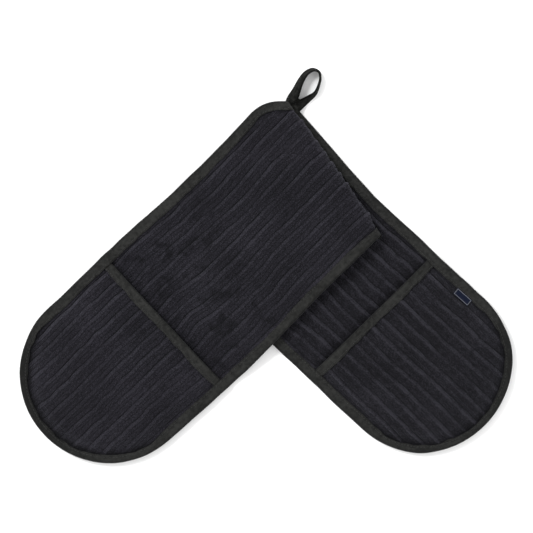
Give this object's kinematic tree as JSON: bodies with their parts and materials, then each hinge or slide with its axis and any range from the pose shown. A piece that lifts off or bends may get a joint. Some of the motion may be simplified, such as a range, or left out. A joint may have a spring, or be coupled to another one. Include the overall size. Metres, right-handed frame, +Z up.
{
  "type": "oven glove",
  "caption": "Double oven glove: padded ribbed terry strip with a hand pocket at each end, bound edges and a hanging loop, folded in a V.",
  "frame": {"origin": "on the table under the middle of the folded glove's bounding box", "axes": "+X to the right and +Y towards the folded corner, with the glove lying flat, pockets up; +Z up out of the table"},
  "size_m": [0.4952, 0.4019, 0.0233],
  "materials": {
    "terry": "black ribbed terry, matt pile",
    "lining_cloth": "black plain weave, matt",
    "wadding": "off-white needled cotton wadding",
    "binding_tape": "charcoal twill tape, soft sheen",
    "thread": "charcoal spun sewing thread",
    "label_cloth": "plain navy woven tape"
  },
  "bodies": {
    "right_arm": {"right_backing": "lining_cloth", "right_wadding": "wadding", "right_face_terry": "terry", "right_edge_binding": "binding_tape", "right_binding_thread": "thread", "right_pocket_margin": "terry", "loop_sewn_ends": "binding_tape", "loop_bar_tack": "thread"},
    "middle": {"middle_backing": "lining_cloth", "middle_wadding": "wadding", "middle_face_terry": "terry", "middle_edge_binding": "binding_tape", "middle_binding_thread": "thread"},
    "left_arm": {"left_backing": "lining_cloth", "left_wadding": "wadding", "left_face_terry": "terry", "left_edge_binding": "binding_tape", "left_binding_thread": "thread", "left_pocket_margin": "terry"},
    "left_pocket": {"left_pocket_lining": "lining_cloth", "left_pocket_wadding": "wadding", "left_pocket_face": "terry", "left_mouth_binding": "binding_tape", "left_mouth_thread": "thread"},
    "right_pocket": {"right_pocket_lining": "lining_cloth", "right_pocket_wadding": "wadding", "right_pocket_face": "terry", "right_mouth_binding": "binding_tape", "right_mouth_thread": "thread"},
    "loop": {"hanging_loop": "binding_tape"},
    "label": {"label_tab": "label_cloth"}
  },
  "joints": [
    {"name": "under_fold", "type": "hinge", "parent": "middle", "child": "right_arm", "pos_m": [0.00044, 0.17241, 0.0077], "axis": [0.1478, 0.989, 0], "range_deg": [0, 175]},
    {"name": "top_fold", "type": "hinge", "parent": "left_arm", "child": "middle", "pos_m": [0.00708, 0.17566, 0.0156], "axis": [0.5736, -0.8192, 0], "range_deg": [0, 175]},
    {"name": "left_pocket_open", "type": "hinge", "parent": "left_arm", "child": "left_pocket", "pos_m": [-0.20806, -0.15722, 0.0139], "axis": [0.6947, -0.7193, 0], "range_deg": [0, 16]},
    {"name": "right_pocket_open", "type": "hinge", "parent": "right_arm", "child": "right_pocket", "pos_m": [0.20872, -0.14488, 0.0139], "axis": [0.682, 0.7314, 0], "range_deg": [0, 16]},
    {"name": "loop_swing", "type": "hinge", "parent": "right_arm", "child": "loop", "pos_m": [0.02419, 0.16749, 0.002], "axis": [0.866, -0.5, 0], "range_deg": [-75, 80]},
    {"name": "label_flap", "type": "hinge", "parent": "right_arm", "child": "label", "pos_m": [0.20007, -0.02879, 0.0134], "axis": [-0.7314, 0.682, 0], "range_deg": [0, 170]}
  ],
  "couplings": [
    {"joint": "under_fold", "follows": "top_fold", "ratio": 1}
  ]
}
